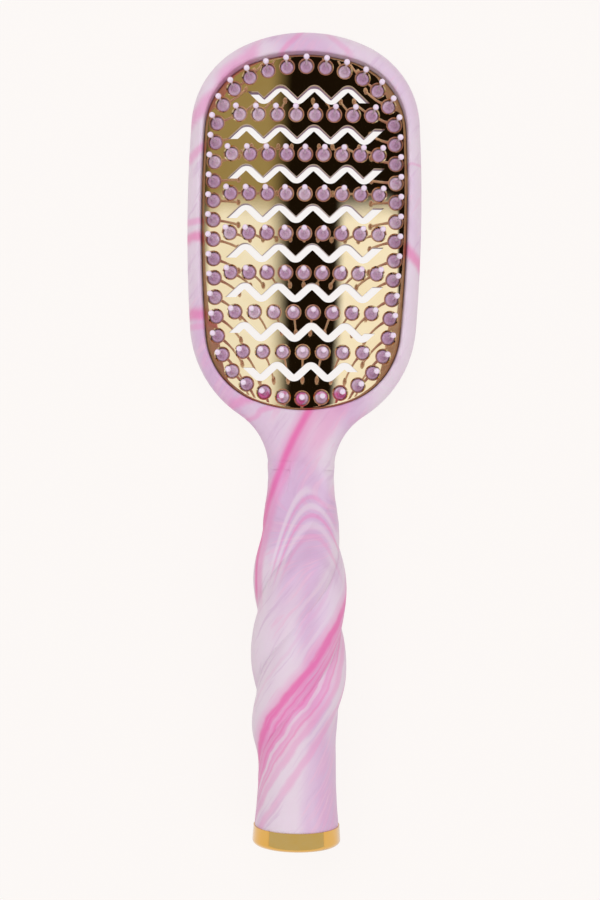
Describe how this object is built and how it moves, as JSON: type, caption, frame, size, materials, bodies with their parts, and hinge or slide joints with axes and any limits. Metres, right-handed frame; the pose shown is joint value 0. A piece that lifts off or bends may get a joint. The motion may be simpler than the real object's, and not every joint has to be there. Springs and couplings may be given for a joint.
{
  "type": "vented paddle hair brush",
  "caption": "Paddle hair brush with a vented, plated face, ball-tipped pins, a marbled body with a twisted round grip and a flared metal-look end cap.",
  "frame": {"origin": "under the middle of the brush, on the plane that the back of the head lies on", "axes": "+Y from the handle to the head, +Z the way the pins point, +X across the brush"},
  "size_m": [0.0688, 0.2366, 0.0284],
  "materials": {
    "marbled_body": "satin moulded plastic, marbled lilac, pink and white",
    "marbled_pad": "softer moulded plastic, marbled lilac",
    "plated_gold": "gold-coloured mirror plating on moulded plastic",
    "pin_plastic": "glossy moulded nylon, lilac, with pale ball tips"
  },
  "bodies": {
    "root": {"handle_body": "marbled_body", "pin_pad": "marbled_pad", "face_plate": "plated_gold", "end_cap": "plated_gold", "pins_row_1": "pin_plastic", "pins_row_2": "pin_plastic", "pins_row_3": "pin_plastic", "pins_row_4": "pin_plastic", "pins_row_5": "pin_plastic", "pins_row_6": "pin_plastic", "pins_row_7": "pin_plastic", "pins_ring_top": "pin_plastic", "pins_ring_right": "pin_plastic", "pins_ring_bottom": "pin_plastic", "pins_ring_left": "pin_plastic"}
  },
  "joints": []
}
